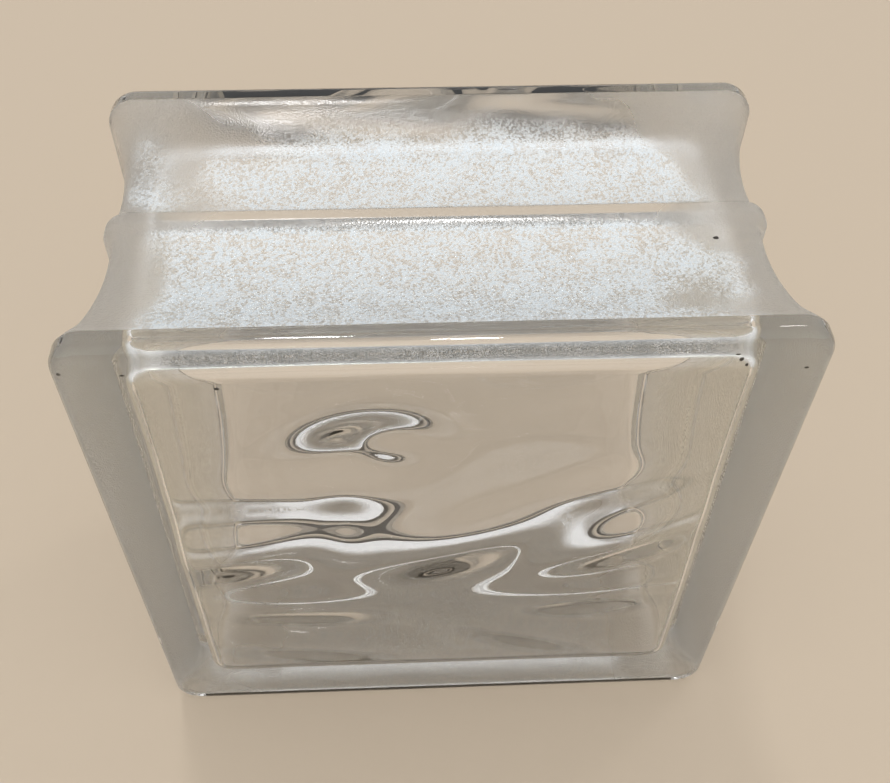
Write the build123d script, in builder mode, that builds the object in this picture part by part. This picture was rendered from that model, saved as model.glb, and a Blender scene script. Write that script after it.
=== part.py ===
import os
from math import cos, exp, radians, sin

from build123d import *

# Hollow glass block, pressed in two halves that are fused into one piece of glass round the middle.
# X runs across the face, Y through the block and Z up. The front face looks along -Y.
# The block stands on the rims of its lower edge, and the origin is at the middle of that edge.

# Overall size, mm
block_width = 146.05
block_height = 146.05
block_depth = 79.4

# Rims at the two faces, and the channel for mortar that runs round all four edges between them
rim_corner_radius = 7.1
rim_width = 4.8
arris_radius = 2.4
channel_corner_radius = 9.4
cove_middle_inset = 5.1
cove_foot_inset = 5.6
rib_width = 4.6
rib_foot_width = 7.4
rib_inset = 3.8
rib_edge_radius = 1.4
rib_foot_radius = 1.0
channel_clearance = 2.0

# Sealed hollow: its side walls lean in from the fused middle towards both faces
cavity_middle_inset = 10.4
cavity_corner_radius = 5.0
cavity_draft = 1.8
cavity_edge_radius = 5.0
cavity_edge_reach = 2.0

# Pressed waves on the inner side of both faces. Each swell has its place from the middle of the face,
# its half length and half breadth, the turn of its length in degrees, and its height into the hollow.
face_thickness = 7.0
swells = {
    "upper_thickening": (0, 32, 150, 40, 0, 3.4),
    "left_trough": (-42, 19, 24, 7, 0, -0.9),
    "main_trough": (3, -1, 25, 11, 22, -3.0),
    "left_lens": (-50, -3, 24, 9.5, 12, -2.8),
    "right_band": (42, -2, 20, 8, 30, -2.4),
    "right_trough": (36, 19, 15, 6, 20, -0.9),
    "neck": (-22, 8, 7, 10, 0, 1.2),
    "eye_swell": (-17, 33, 13, 9, 15, 2.2),
    "eye_dimple": (-12, 34, 7, 5.5, 0, -1.2),
    "lower_right_trough": (34, -26, 22, 8, 8, -1.7),
    "lower_left_trough": (-34, -27, 22, 8, 0, -1.6),
    "bottom_right_wave": (22, -44, 20, 7, -24, -1.1),
    "bottom_left_wave": (-34, -48, 24, 7, -10, -1.0),
}
wave_grid_spacing = 3.0
wave_grid_margin = 4.0
wave_fit = 0.04

half_width = block_width / 2
half_depth = block_depth / 2
middle_height = block_height / 2


def wave_relief(x, z):
    """Height of the waves above the mean inner face, with x and z from the middle of the face."""
    relief = 0
    for swell_x, swell_z, half_length, half_breadth, angle, height in swells.values():
        turn = radians(angle)
        lengthwise = (x - swell_x) * cos(turn) + (z - swell_z) * sin(turn)
        sideways = (z - swell_z) * cos(turn) - (x - swell_x) * sin(turn)
        relief += height * exp(-((lengthwise / half_length) ** 2) - (sideways / half_breadth) ** 2)
    return relief


def wave_face(side):
    """Waved inner side of the front face (side -1) or the back face (side 1), wider than the hollow.

    Both halves are the same pressing, so the back one shows its waves turned round.
    """
    reach_x = half_width - wave_grid_margin
    reach_z = middle_height - wave_grid_margin
    steps_x = round(2 * reach_x / wave_grid_spacing)
    steps_z = round(2 * reach_z / wave_grid_spacing)
    rows = []
    for i in range(steps_x + 1):
        x = -reach_x + 2 * reach_x * i / steps_x
        row = []
        for j in range(steps_z + 1):
            z = -reach_z + 2 * reach_z * j / steps_z
            y = side * (half_depth - face_thickness - wave_relief(-side * x, z))
            row.append((x, y, middle_height + z))
        rows.append(row)
    return Face.make_surface_from_array_of_points(rows, tol=wave_fit, min_deg=3, max_deg=3)


# Body between the rims: a rounded square through the whole depth, with the channel swept out of it
with BuildPart() as glass_block:
    with BuildSketch(Plane.XZ.offset(-half_depth)):
        with Locations((0, middle_height)):
            RectangleRounded(block_width, block_height, channel_corner_radius)
    extrude(amount=block_depth)

    with BuildSketch(Plane.XZ, mode=Mode.PRIVATE) as edge_outline:
        with Locations((0, middle_height)):
            RectangleRounded(block_width, block_height, channel_corner_radius)
    edge_path = edge_outline.sketch.face().outer_wire()

    rim_inner = half_depth - rim_width
    rib_half = rib_width / 2
    foot_half = rib_foot_width / 2
    cove_middle = (rim_inner + foot_half) / 2
    section_plane = Plane(origin=edge_path @ 0, x_dir=(0, 1, 0), z_dir=edge_path % 0)
    with BuildSketch(section_plane) as channel_section:
        with BuildLine():
            ThreePointArc((-rim_inner, 0), (-cove_middle, cove_middle_inset), (-foot_half, cove_foot_inset))
            Polyline(
                (-foot_half, cove_foot_inset),
                (-rib_half, rib_inset),
                (rib_half, rib_inset),
                (foot_half, cove_foot_inset),
            )
            ThreePointArc((foot_half, cove_foot_inset), (cove_middle, cove_middle_inset), (rim_inner, 0))
            Polyline(
                (rim_inner, 0),
                (rim_inner, -channel_clearance),
                (-rim_inner, -channel_clearance),
                (-rim_inner, 0),
            )
        make_face()
        rib_edges = channel_section.vertices().group_by(Axis.Y)[-2]
        fillet(rib_edges, radius=rib_edge_radius)
        rib_feet = channel_section.vertices().group_by(Axis.Y)[-1]
        fillet(rib_feet, radius=rib_foot_radius)
    sweep(path=edge_path, mode=Mode.SUBTRACT)

    # The rims have tighter corners than the channel
    for rim_back_y in (half_depth, -half_depth + rim_width):
        with BuildSketch(Plane.XZ.offset(-rim_back_y)):
            with Locations((0, middle_height)):
                RectangleRounded(block_width, block_height, rim_corner_radius)
        extrude(amount=rim_width)
    front_edges = glass_block.faces().sort_by(Axis.Y)[0].edges()
    back_edges = glass_block.faces().sort_by(Axis.Y)[-1].edges()
    fillet(front_edges + back_edges, radius=arris_radius)

# Hollow between the halves: a drafted rounded square to each side of the middle, ended by the waved faces
cavity_width = block_width - 2 * cavity_middle_inset
cavity_height = block_height - 2 * cavity_middle_inset
with BuildPart() as cavity:
    with BuildSketch(Plane.XZ):
        with Locations((0, middle_height)):
            RectangleRounded(cavity_width, cavity_height, cavity_corner_radius)
    extrude(amount=half_depth - face_thickness + cavity_edge_reach)
    wall_faces = cavity.faces().filter_by(Axis.Y, reverse=True)
    draft(wall_faces, neutral_plane=Plane.XZ, angle=cavity_draft)
    fillet(cavity.faces().sort_by(Axis.Y)[0].edges(), radius=cavity_edge_radius)
    mirror(about=Plane.XZ)
    add(Solid.extrude(wave_face(-1), Vector(0, block_depth, 0)), mode=Mode.INTERSECT)
    add(Solid.extrude(wave_face(1), Vector(0, -block_depth, 0)), mode=Mode.INTERSECT)

with glass_block:
    add(cavity.part, mode=Mode.SUBTRACT)

glass_block.part.label = "glass_block"
os.makedirs("parts", exist_ok=True)
export_step(glass_block.part, "parts/glass_block.step")
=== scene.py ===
import math
import random

import bmesh
import bpy
from mathutils import Matrix, Vector


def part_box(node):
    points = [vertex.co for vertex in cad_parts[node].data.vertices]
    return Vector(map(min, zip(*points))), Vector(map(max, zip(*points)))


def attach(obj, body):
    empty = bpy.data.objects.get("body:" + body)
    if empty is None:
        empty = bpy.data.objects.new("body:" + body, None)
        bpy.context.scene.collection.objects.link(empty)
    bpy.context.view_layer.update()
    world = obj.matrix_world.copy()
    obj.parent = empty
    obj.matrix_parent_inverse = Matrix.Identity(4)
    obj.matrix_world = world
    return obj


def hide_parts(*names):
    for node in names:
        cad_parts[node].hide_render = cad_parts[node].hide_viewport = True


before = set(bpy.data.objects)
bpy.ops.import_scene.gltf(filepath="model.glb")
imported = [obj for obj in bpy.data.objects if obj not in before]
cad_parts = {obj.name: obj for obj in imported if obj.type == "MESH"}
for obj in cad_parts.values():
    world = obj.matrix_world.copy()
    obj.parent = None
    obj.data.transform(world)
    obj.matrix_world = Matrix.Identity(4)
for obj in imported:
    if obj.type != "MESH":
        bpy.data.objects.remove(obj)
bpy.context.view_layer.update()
blockLow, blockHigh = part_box("glass_block")
halfWidth = (blockHigh.x - blockLow.x) / 2
halfDepth = (blockHigh.y - blockLow.y) / 2
middleHeight = (blockHigh.z + blockLow.z) / 2
print("frame loaded, block", [round(high - low, 4) for low, high in zip(blockLow, blockHigh)])


# Camera, fitted to the outline of the block in the photo
cameraView = {
    "place": (-0.0079, -0.1719, 0.2909),
    "pitch": -50.18,
    "roll": -1.08,
    "yaw": -3.29,
    "focalPixels": 1091,
    "picturePixels": 890,
    "sensor": 36,
    "clipStart": 0.005,
}


def makeCamera(values):
    camera = bpy.data.cameras.new("camera")
    camera.sensor_width = values["sensor"]
    camera.lens = values["focalPixels"] / values["picturePixels"] * values["sensor"]
    camera.clip_start = values["clipStart"]
    cameraObject = bpy.data.objects.new("camera", camera)
    bpy.context.scene.collection.objects.link(cameraObject)
    turn = Matrix.Rotation(math.radians(values["yaw"]), 4, "Z")
    tilt = Matrix.Rotation(math.radians(90 + values["pitch"]), 4, "X")
    roll = Matrix.Rotation(-math.radians(values["roll"]), 4, "Z")
    cameraObject.matrix_world = Matrix.Translation(values["place"]) @ turn @ tilt @ roll
    bpy.context.scene.camera = cameraObject


makeCamera(cameraView)
print("camera ready")


# Shader helpers
def newMaterial(name):
    material = bpy.data.materials.new(name)
    material.use_nodes = True
    return material, material.node_tree, material.node_tree.nodes["Principled BSDF"]


def addNode(tree, kind, **settings):
    made = tree.nodes.new(kind)
    for key, value in settings.items():
        if key in made.inputs:
            made.inputs[key].default_value = value
        else:
            setattr(made, key, value)
    return made


def objectPlace(tree):
    return addNode(tree, "ShaderNodeTexCoord").outputs["Object"]


def splitAxes(tree, place):
    axes = tree.nodes.new("ShaderNodeSeparateXYZ")
    tree.links.new(place, axes.inputs["Vector"])
    return axes.outputs["X"], axes.outputs["Y"], axes.outputs["Z"]


def noiseOn(tree, place, scale, detail, roughness=0.5):
    noise = addNode(tree, "ShaderNodeTexNoise", Scale=scale, Detail=detail, Roughness=roughness)
    tree.links.new(place, noise.inputs["Vector"])
    return noise.outputs["Fac"]


def ranged(tree, value, low, high, outLow=0.0, outHigh=1.0):
    # smooth step from outLow at low to outHigh at high
    mapped = addNode(tree, "ShaderNodeMapRange", clamp=True, interpolation_type="SMOOTHSTEP")
    tree.links.new(value, mapped.inputs["Value"])
    mapped.inputs["From Min"].default_value = low
    mapped.inputs["From Max"].default_value = high
    mapped.inputs["To Min"].default_value = outLow
    mapped.inputs["To Max"].default_value = outHigh
    return mapped.outputs["Result"]


def mathOf(tree, operation, first, second=0.0):
    made = addNode(tree, "ShaderNodeMath", operation=operation)
    for socket, value in zip(made.inputs, (first, second)):
        if isinstance(value, (int, float)):
            socket.default_value = value
        else:
            tree.links.new(value, socket)
    return made.outputs["Value"]


def blended(tree, share, *colors):
    mixed = addNode(tree, "ShaderNodeMix", data_type="RGBA")
    tree.links.new(share, mixed.inputs["Factor"])
    colorInputs = [socket for socket in mixed.inputs if socket.type == "RGBA"]
    for socket, color in zip(colorInputs, colors):
        socket.default_value = color
    return next(socket for socket in mixed.outputs if socket.type == "RGBA")


def addBump(tree, shader, height, distance):
    bump = addNode(tree, "ShaderNodeBump", Distance=distance, Strength=1.0)
    tree.links.new(height, bump.inputs["Height"])
    tree.links.new(bump.outputs["Normal"], shader.inputs["Normal"])


# Pressed clear glass with a fine ripple, a little green through its thickness
clearGlass = {
    "ior": 1.52,
    "roughness": 0.0,
    "tint": (1.0, 1.0, 1.0, 1.0),
    "absorb": (0.66, 0.71, 0.55, 1.0),
    "absorbDensity": 0.6,
    "rippleScale": 60.0,
    "rippleDetail": 0.0,
    "rippleHeight": 0.00002,
}


def makeClearGlass(values):
    material, tree, shader = newMaterial("clearPressedGlass")
    shader.inputs["Base Color"].default_value = values["tint"]
    shader.inputs["IOR"].default_value = values["ior"]
    shader.inputs["Transmission Weight"].default_value = 1.0
    shader.inputs["Roughness"].default_value = values["roughness"]
    ripple = noiseOn(tree, objectPlace(tree), values["rippleScale"], values["rippleDetail"])
    addBump(tree, shader, ripple, values["rippleHeight"])
    absorb = addNode(tree, "ShaderNodeVolumeAbsorption", Density=values["absorbDensity"])
    absorb.inputs["Color"].default_value = values["absorb"]
    tree.links.new(absorb.outputs["Volume"], tree.nodes["Material Output"].inputs["Volume"])
    return material


# Rough key on the four edges: silver grains above and, thinner, below, and an even satin on both sides
edgeKey = {
    "color": (0.70, 0.77, 0.82, 1.0),
    "sideColor": (0.98, 0.97, 0.94, 1.0),
    "clearTransmission": 0.97,
    "grainTransmission": 0.32,
    "clearRoughness": 0.16,
    "satinRoughness": 0.68,
    "grainRoughness": 0.3,
    "grainShare": 0.7,
    "grainScale": 2200.0,
    "grainHeight": 0.00012,
    "grainFade": (0.55, 1.15),
    "clumpScale": 160.0,
    "clumpDetail": 2.0,
    "clumpRoughness": 0.65,
    "clumpWeight": 0.8,
    "patchScale": 45.0,
    "patchDetail": 1.0,
    "patchRoughness": 0.6,
    "patchReach": 0.05,
    "backPatchShare": 0.4,
    "cornerFade": (0.010, 0.030),
    "backFade": (0.016, 0.034),
    "ribFade": (0.0020, 0.0036),
    "lowerFade": (0.02, 0.04),
    "lowerShare": 0.3,
    "sideBlend": 0.003,
    "sideRelief": 0.7,
    "restRelief": 0.1,
}


def keyMasks(tree, place, values):
    # how much of the grains there is at a place, and how much of the satin
    x, y, z = splitAxes(tree, place)
    acrossX = mathOf(tree, "ABSOLUTE", x)
    acrossZ = mathOf(tree, "ABSOLUTE", mathOf(tree, "SUBTRACT", z, middleHeight))
    patch = noiseOn(tree, place, values["patchScale"], values["patchDetail"], values["patchRoughness"])
    wander = mathOf(tree, "MULTIPLY", mathOf(tree, "SUBTRACT", patch, 0.5), values["patchReach"])

    # the grains thin out at the corners, at the back rim, on the centre rib and on the lower edge
    fromMiddle = mathOf(tree, "ADD", mathOf(tree, "MINIMUM", acrossX, acrossZ), wander)
    nearCorner, farCorner = (halfWidth - distance for distance in values["cornerFade"])
    cornerKey = ranged(tree, fromMiddle, farCorner, nearCorner, 1.0, 0.0)
    backward = mathOf(tree, "ADD", y, mathOf(tree, "MULTIPLY", wander, values["backPatchShare"]))
    backKey = ranged(tree, backward, *values["backFade"], 1.0, 0.0)
    ribKey = ranged(tree, mathOf(tree, "ABSOLUTE", y), *values["ribFade"])
    lowerKey = ranged(tree, z, *values["lowerFade"], values["lowerShare"], 1.0)

    sideBlend = values["sideBlend"]
    onSide = ranged(tree, mathOf(tree, "SUBTRACT", acrossX, acrossZ), -sideBlend, sideBlend)
    grainKey = mathOf(tree, "SUBTRACT", 1.0, onSide)
    for mask in (cornerKey, backKey, ribKey, lowerKey):
        grainKey = mathOf(tree, "MULTIPLY", grainKey, mask)
    satin = mathOf(tree, "MAXIMUM", onSide, mathOf(tree, "SUBTRACT", 1.0, cornerKey))
    return grainKey, satin


def makeEdgeKey(values):
    material, tree, shader = newMaterial("frostedEdgeKey")
    shader.inputs["IOR"].default_value = clearGlass["ior"]
    place = objectPlace(tree)
    grainKey, satin = keyMasks(tree, place, values)

    # grains in clumps, and how much of the surface they cover
    grain = addNode(tree, "ShaderNodeTexVoronoi", Scale=values["grainScale"])
    tree.links.new(place, grain.inputs["Vector"])
    clump = noiseOn(tree, place, values["clumpScale"], values["clumpDetail"], values["clumpRoughness"])
    weighted = mathOf(tree, "MULTIPLY", clump, values["clumpWeight"])
    clumped = mathOf(tree, "ADD", grain.outputs["Color"], weighted)
    grains = ranged(tree, clumped, *values["grainFade"], 1.0 - values["grainShare"], 1.0)
    frost = mathOf(tree, "MULTIPLY", grains, grainKey)

    color = blended(tree, frost, values["sideColor"], values["color"])
    tree.links.new(color, shader.inputs["Base Color"])
    transmission = ranged(tree, frost, 0.0, 1.0, values["clearTransmission"], values["grainTransmission"])
    tree.links.new(transmission, shader.inputs["Transmission Weight"])
    smoothRoughness = ranged(tree, satin, 0.0, 1.0, values["clearRoughness"], values["satinRoughness"])
    extra = mathOf(tree, "MULTIPLY", grainKey, values["grainRoughness"] - values["clearRoughness"])
    tree.links.new(mathOf(tree, "ADD", smoothRoughness, extra), shader.inputs["Roughness"])

    relief = mathOf(tree, "ADD", grain.outputs["Distance"], clump)
    sideRelief = mathOf(tree, "MULTIPLY", satin, values["sideRelief"])
    reach = mathOf(tree, "ADD", mathOf(tree, "ADD", grainKey, sideRelief), values["restRelief"])
    addBump(tree, shader, mathOf(tree, "MULTIPLY", relief, reach), values["grainHeight"])
    return material


# Glass block: outer shell with rims and channel, and the sealed hollow inside it
outerShell = {
    "rimWidth": 0.0048,
    "rimCornerRadius": 0.0071,
    "channelCornerRadius": 0.0094,
    "arrisRadius": 0.0024,
    "coveMiddleInset": 0.0051,
    "coveFootInset": 0.0056,
    "ribInset": 0.0038,
    "ribTop": 0.0010,
    "ribFoot": 0.0041,
    "coveFoot": 0.0037,
    "cornerBlend": 0.007,
    "cornerSteps": 12,
    "sideCuts": 24,
    "arrisSteps": 6,
    "coveSteps": 16,
    "ribSteps": 10,
    "faceSupport": 0.0006,
    "rimSupport": 0.0003,
}
hollow = {
    "middleInset": 0.0104,
    "cornerRadius": 0.005,
    "draft": math.radians(1.8),
    "edgeRadius": 0.0032,
    "edgeSteps": 6,
    "wallSteps": 8,
    "faceThickness": 0.007,
    "faceCells": 130,
}
# swells of the waved faces: x and z from the middle, half length, half breadth, angle in degrees and height
swells = {
    "upperThickening": (0, 0.032, 0.150, 0.040, 0, 0.0034),
    "leftTrough": (-0.042, 0.019, 0.024, 0.007, 0, -0.0009),
    "mainTrough": (0.003, -0.001, 0.025, 0.011, 22, -0.0030),
    "leftLens": (-0.050, -0.003, 0.024, 0.0095, 12, -0.0028),
    "rightBand": (0.042, -0.002, 0.020, 0.008, 30, -0.0024),
    "rightTrough": (0.036, 0.019, 0.015, 0.006, 20, -0.0009),
    "neck": (-0.022, 0.008, 0.007, 0.010, 0, 0.0012),
    "eyeSwell": (-0.017, 0.033, 0.013, 0.009, 15, 0.0022),
    "eyeDimple": (-0.012, 0.034, 0.007, 0.0055, 0, -0.0012),
    "lowerRightTrough": (0.034, -0.026, 0.022, 0.008, 8, -0.0017),
    "lowerLeftTrough": (-0.034, -0.027, 0.022, 0.008, 0, -0.0016),
    "bottomRightWave": (0.022, -0.044, 0.020, 0.007, -24, -0.0011),
    "bottomLeftWave": (-0.034, -0.048, 0.024, 0.007, -10, -0.0010),
}
weldDistance = 1e-6
clearGlassSlot, edgeKeySlot, driedDirtSlot = range(3)


def waveRelief(x, z):
    # height of the pressed waves above the mean inner face, z from the middle of the block
    height = 0.0
    for swellX, swellZ, halfLength, halfBreadth, angle, swellHeight in swells.values():
        turn = math.radians(angle)
        offX, offZ = x - swellX, z - swellZ
        lengthwise = offX * math.cos(turn) + offZ * math.sin(turn)
        sideways = offZ * math.cos(turn) - offX * math.sin(turn)
        height += swellHeight * math.exp(-((lengthwise / halfLength) ** 2) - (sideways / halfBreadth) ** 2)
    return height


def smooth(share):
    share = min(max(share, 0.0), 1.0)
    return share * share * (3 - 2 * share)


def coveInset(distance):
    rimInner = halfDepth - outerShell["rimWidth"]
    middle = (rimInner + outerShell["coveFoot"]) / 2
    along = (distance - middle) / (rimInner - middle)
    hollowed = outerShell["coveMiddleInset"] * (1 - along * along)
    return hollowed + outerShell["coveFootInset"] * along * (along - 1) / 2


def channelInset(distance):
    # depth of the channel below the rims at this distance from the middle of the block
    ribTop, ribFoot, ribInset = outerShell["ribTop"], outerShell["ribFoot"], outerShell["ribInset"]
    if distance > ribFoot:
        return coveInset(distance)
    return ribInset + (coveInset(ribFoot) - ribInset) * smooth((distance - ribTop) / (ribFoot - ribTop))


def cornerRadius(distance):
    rimInner = halfDepth - outerShell["rimWidth"]
    rimRadius, channelRadius = outerShell["rimCornerRadius"], outerShell["channelCornerRadius"]
    return rimRadius + (channelRadius - rimRadius) * smooth((rimInner - distance) / outerShell["cornerBlend"])


def outerStations():
    # (distance from the middle, inset) from the flat face in to the middle of the block
    arris = outerShell["arrisRadius"]
    rimInner = halfDepth - outerShell["rimWidth"]
    ribFoot = outerShell["ribFoot"]
    stations = []
    for step in range(outerShell["arrisSteps"] + 1):
        angle = math.pi / 2 * step / outerShell["arrisSteps"]
        stations.append((halfDepth - arris * (1 - math.cos(angle)), arris * (1 - math.sin(angle))))
    stations.append((rimInner + outerShell["rimSupport"], 0.0))
    for step in range(outerShell["coveSteps"]):
        distance = rimInner + (ribFoot - rimInner) * step / outerShell["coveSteps"]
        stations.append((distance, channelInset(distance)))
    for step in range(outerShell["ribSteps"] + 1):
        distance = ribFoot * (1 - step / outerShell["ribSteps"])
        stations.append((distance, channelInset(distance)))
    return stations


def setRing(verts, radius, inset, half, oldRadius, oldHalf, depth):
    # moves a rounded square ring of vertices to another half width, corner radius, inset and depth
    oldCentre = oldHalf - oldRadius
    scale = (half - radius) / oldCentre
    for vert in verts:
        centreX, centreZ = (min(max(value, -oldCentre), oldCentre) for value in (vert.co.x, vert.co.z))
        centre = Vector((centreX, 0, centreZ))
        outward = Vector((vert.co.x, 0, vert.co.z)) - centre
        outward.normalize()
        moved = centre * scale + outward * (radius - inset)
        vert.co = Vector((moved.x, depth(moved.x, moved.z), moved.z))


def extrudeRing(bm, ring):
    grown = bmesh.ops.extrude_edge_only(bm, edges=ring)["geom"]
    return [part for part in grown if isinstance(part, bmesh.types.BMEdge)]


def ringVerts(ring):
    return list({vert for edge in ring for vert in edge.verts})


def makeShellHalf(bm, side):
    # one half of the outer shell: side -1 is the front, 1 is the back
    values = outerShell
    radius = values["rimCornerRadius"]
    verts = bmesh.ops.create_grid(bm, x_segments=1, y_segments=1, size=1.0)["verts"]
    bmesh.ops.scale(bm, vec=(halfWidth, halfWidth, 1), verts=verts)
    bmesh.ops.rotate(bm, cent=(0, 0, 0), matrix=Matrix.Rotation(math.pi / 2, 3, "X"), verts=verts)
    bmesh.ops.bevel(bm, geom=verts, offset=radius, affect="VERTICES", segments=values["cornerSteps"],
                    profile=0.5, material=-1)
    longEdges = [edge for edge in bm.edges if edge.calc_length() > halfWidth]
    bmesh.ops.subdivide_edges(bm, edges=longEdges, cuts=values["sideCuts"])
    ring = list(bm.edges)
    flatInset = values["arrisRadius"] + values["faceSupport"]
    setRing(ringVerts(ring), radius, flatInset, halfWidth, radius, halfWidth, lambda x, z: side * halfDepth)
    for distance, inset in outerStations():
        ring = extrudeRing(bm, ring)
        newRadius = cornerRadius(distance)
        setRing(ringVerts(ring), newRadius, inset, halfWidth, radius, halfWidth, lambda x, z: side * distance)
        radius = newRadius


def squareToCorner(x, z, centre):
    # pulls a point beyond the corner's centre in both directions onto the rounded corner
    overX, overZ = abs(x) - centre, abs(z) - centre
    if overX <= 0 or overZ <= 0:
        return x, z
    pull = max(overX, overZ) / math.hypot(overX, overZ)
    return math.copysign(centre + overX * pull, x), math.copysign(centre + overZ * pull, z)


def makeHollowHalf(bm, side):
    # one half of the hollow: a waved face, its rounded edge and the drafted wall down to the middle
    values = hollow
    planeDistance = halfDepth - values["faceThickness"]
    wallHalf = halfWidth - values["middleInset"]
    faceHalf = wallHalf - planeDistance * math.tan(values["draft"])
    rounding = values["edgeRadius"]
    radius = values["cornerRadius"]
    cells = values["faceCells"]

    def waveDepth(x, z):
        return side * (planeDistance - waveRelief(-side * x, z))

    flatHalf = faceHalf - rounding
    centre = flatHalf - (radius - rounding)
    for vert in bmesh.ops.create_grid(bm, x_segments=cells, y_segments=cells, size=1.0)["verts"]:
        x, z = squareToCorner(vert.co.x * flatHalf, vert.co.y * flatHalf, centre)
        vert.co = Vector((x, waveDepth(x, z), z))
    ring = [edge for edge in bm.edges if edge.is_boundary]
    for step in range(1, values["edgeSteps"] + 1):
        angle = math.pi / 2 * step / values["edgeSteps"]
        inset = rounding * (1 - math.sin(angle))
        drop = rounding * (1 - math.cos(angle))
        ring = extrudeRing(bm, ring)
        setRing(ringVerts(ring), radius, inset, faceHalf, radius, faceHalf,
                lambda x, z: waveDepth(x, z) - side * drop)
    lastHalf = faceHalf
    for step in range(1, values["wallSteps"] + 1):
        share = step / values["wallSteps"]
        newHalf = faceHalf + (wallHalf - faceHalf) * share
        ring = extrudeRing(bm, ring)
        setRing(ringVerts(ring), radius, 0.0, newHalf, radius, lastHalf,
                lambda x, z: (waveDepth(x, z) - side * rounding) * (1 - share))
        lastHalf = newHalf


def fusedHalves(makeHalf):
    # makes the front and back halves apart and fuses them at the middle
    fused = bmesh.new()
    for side in (-1, 1):
        half = bmesh.new()
        makeHalf(half, side)
        halfMesh = bpy.data.meshes.new("half")
        half.to_mesh(halfMesh)
        half.free()
        fused.from_mesh(halfMesh)
        bpy.data.meshes.remove(halfMesh)
    bmesh.ops.remove_doubles(fused, verts=fused.verts, dist=weldDistance)
    bmesh.ops.recalc_face_normals(fused, faces=fused.faces)
    return fused


# Dried dirt just under the surface: each crumb's place and its half sizes
driedDirt = {
    "color": (0.035, 0.03, 0.025, 1.0),
    "roughness": 0.85,
    "seed": 4,
    "leastReach": 0.75,
    "crumbs": {
        "frontSpeck": ((-0.0430, -0.03954, 0.1344), (0.00055, 0.00014, 0.00045)),
        "rimSpeck": ((0.0680, -0.03954, 0.1364), (0.00050, 0.00014, 0.00030)),
        "channelSpeck": ((0.0562, -0.0082, 0.1410), (0.00070, 0.00045, 0.00020)),
        "backCornerSpeck": ((-0.0722, 0.0345, 0.1405), (0.00020, 0.00050, 0.00050)),
        "leftEdgeSpeck": ((-0.0728, -0.0360, 0.1040), (0.00015, 0.00035, 0.00035)),
        "leftEdgeCrumb": ((-0.0728, -0.0360, 0.1015), (0.00015, 0.00025, 0.00025)),
        "rightResidue": ((0.0550, -0.03954, 0.1392), (0.00050, 0.00014, 0.00065)),
        "rightResidueEnd": ((0.0563, -0.03954, 0.1376), (0.00035, 0.00014, 0.00050)),
        "rightResidueTail": ((0.0541, -0.03954, 0.1406), (0.00060, 0.00014, 0.00025)),
        "leftResidue": ((-0.0595, -0.03954, 0.1388), (0.00060, 0.00014, 0.00025)),
        "cornerSmudge": ((-0.0708, -0.0394, 0.1395), (0.00045, 0.00014, 0.00045)),
        "backRimDirt": ((0.0060, 0.0372, 0.14585), (0.0040, 0.00035, 0.00014)),
        "backRimDust": ((0.0170, 0.0368, 0.14585), (0.0025, 0.00030, 0.00014)),
        "backRimCrumb": ((-0.0020, 0.0378, 0.14585), (0.0012, 0.00030, 0.00014)),
    },
}


def makeDriedDirt(values):
    material, _, shader = newMaterial("driedDirt")
    shader.inputs["Base Color"].default_value = values["color"]
    shader.inputs["Roughness"].default_value = values["roughness"]
    return material


def addDirtCrumbs(bm, values):
    jitter = random.Random(values["seed"])
    for place, halfSizes in values["crumbs"].values():
        verts = bmesh.ops.create_icosphere(bm, subdivisions=2, radius=1.0)["verts"]
        for vert in verts:
            vert.co *= jitter.uniform(values["leastReach"], 1.0)
        bmesh.ops.scale(bm, vec=halfSizes, verts=verts)
        bmesh.ops.translate(bm, vec=place, verts=verts)
        for face in {face for vert in verts for face in vert.link_faces}:
            face.material_index = driedDirtSlot


def makeGlassBlock():
    outer = fusedHalves(makeShellHalf)
    channelStart = halfDepth - outerShell["rimWidth"]
    for face in outer.faces:
        inChannel = abs(face.calc_center_median().y) < channelStart
        face.material_index = edgeKeySlot if inChannel else clearGlassSlot

    # the hollow's faces look into it, so that the glass lies between the two skins
    inner = fusedHalves(makeHollowHalf)
    bmesh.ops.reverse_faces(inner, faces=inner.faces)
    hollowMesh = bpy.data.meshes.new("hollow")
    inner.to_mesh(hollowMesh)
    inner.free()
    outer.from_mesh(hollowMesh)
    bpy.data.meshes.remove(hollowMesh)
    bmesh.ops.translate(outer, vec=(0, 0, middleHeight), verts=outer.verts)
    addDirtCrumbs(outer, driedDirt)
    openEdges = [edge for edge in outer.edges if not edge.is_manifold]
    volume = round(outer.calc_volume(signed=True) * 1e6, 1)
    print("glass block", len(outer.faces), "faces,", len(openEdges), "open edges, volume", volume, "cm3")

    mesh = bpy.data.meshes.new("glassBlock")
    outer.to_mesh(mesh)
    outer.free()
    mesh.shade_smooth()
    for material in (makeClearGlass(clearGlass), makeEdgeKey(edgeKey), makeDriedDirt(driedDirt)):
        mesh.materials.append(material)
    piece = bpy.data.objects.new("glassBlock", mesh)
    bpy.context.scene.collection.objects.link(piece)
    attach(piece, "root")
    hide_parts("glass_block")


makeGlassBlock()


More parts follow.
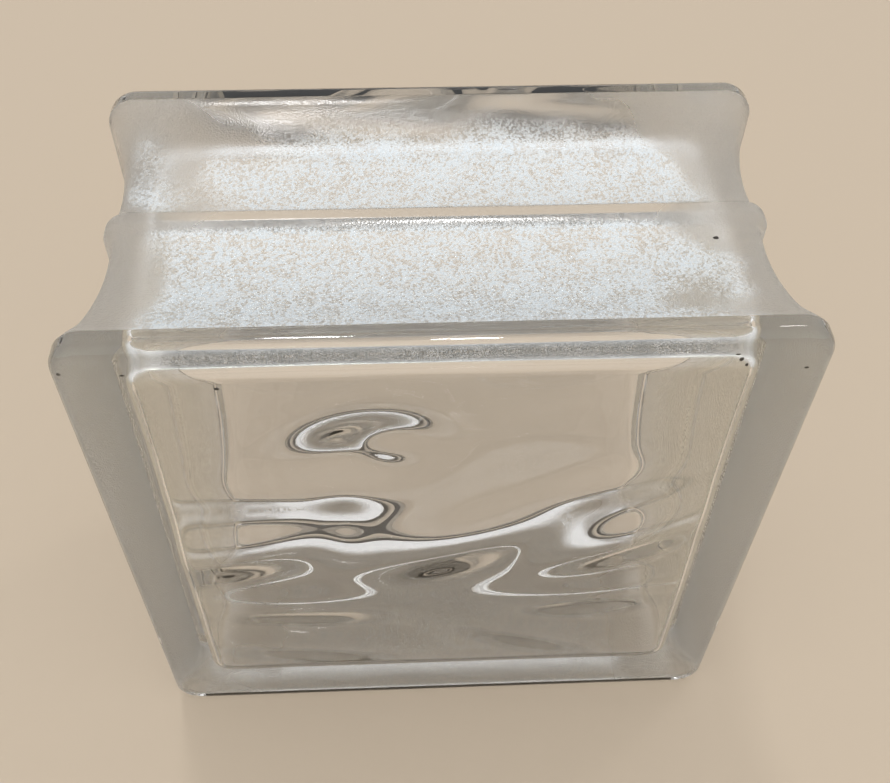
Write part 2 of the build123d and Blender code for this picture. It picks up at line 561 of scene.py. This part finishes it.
# Floor and light
setting = {
    "floorColor": (0.50, 0.41, 0.31, 1.0),
    "floorRoughness": 0.6,
    "floorHalf": 3.0,
    "worldColor": (0.98, 0.98, 0.98, 1.0),
    "worldStrength": (0.70, 0.88),
    "overheadFade": (-0.1, 1.0),
    "frontGlow": 0.4,
    "frontFade": (-0.9, 0.1),
    "lamps": {
        "mainLamp": {"place": (-0.20, 0.55, 2.0), "size": 0.20, "power": 5.0},
        "farLamp": {"place": (0.85, 0.60, 2.0), "size": 0.20, "power": 2.0},
        "frontLamp": {"place": (0.10, -0.80, 1.7), "size": 0.14, "power": 7.0},
    },
    "bounces": {
        "max_bounces": 16,
        "transmission_bounces": 16,
        "transparent_max_bounces": 16,
        "glossy_bounces": 8,
        "diffuse_bounces": 2,
    },
}


def makeFloor(values):
    bm = bmesh.new()
    bmesh.ops.create_grid(bm, x_segments=1, y_segments=1, size=values["floorHalf"])
    mesh = bpy.data.meshes.new("floor")
    bm.to_mesh(mesh)
    bm.free()
    floor = bpy.data.objects.new("floor", mesh)
    bpy.context.scene.collection.objects.link(floor)
    material, _, shader = newMaterial("plainFloor")
    shader.inputs["Base Color"].default_value = values["floorColor"]
    shader.inputs["Roughness"].default_value = values["floorRoughness"]
    mesh.materials.append(material)


def makeWorld(values):
    # plain soft light, brighter overhead and in front of the block than behind it
    world = bpy.data.worlds.new("world")
    world.use_nodes = True
    tree = world.node_tree
    background = tree.nodes["Background"]
    background.inputs["Color"].default_value = values["worldColor"]
    _, y, z = splitAxes(tree, addNode(tree, "ShaderNodeTexCoord").outputs["Generated"])
    overhead = ranged(tree, z, *values["overheadFade"], *values["worldStrength"])
    inFront = ranged(tree, y, *values["frontFade"], values["frontGlow"], 0.0)
    tree.links.new(mathOf(tree, "ADD", overhead, inFront), background.inputs["Strength"])
    bpy.context.scene.world = world


def makeLamp(name, values):
    lamp = bpy.data.lights.new(name, "AREA")
    lamp.shape = "DISK"
    lamp.size = values["size"]
    lamp.energy = values["power"]
    lampObject = bpy.data.objects.new(name, lamp)
    bpy.context.scene.collection.objects.link(lampObject)
    place = Vector(values["place"])
    aim = (place - Vector((0, 0, middleHeight))).to_track_quat("Z", "Y")
    lampObject.matrix_world = Matrix.Translation(place) @ aim.to_matrix().to_4x4()


def makeSetting(values):
    bpy.context.scene.view_settings.view_transform = "Standard"
    makeFloor(values)
    makeWorld(values)
    for name, lampValues in values["lamps"].items():
        makeLamp(name, lampValues)
    for name, bounces in values["bounces"].items():
        setattr(bpy.context.scene.cycles, name, bounces)


makeSetting(setting)
print("setting ready")
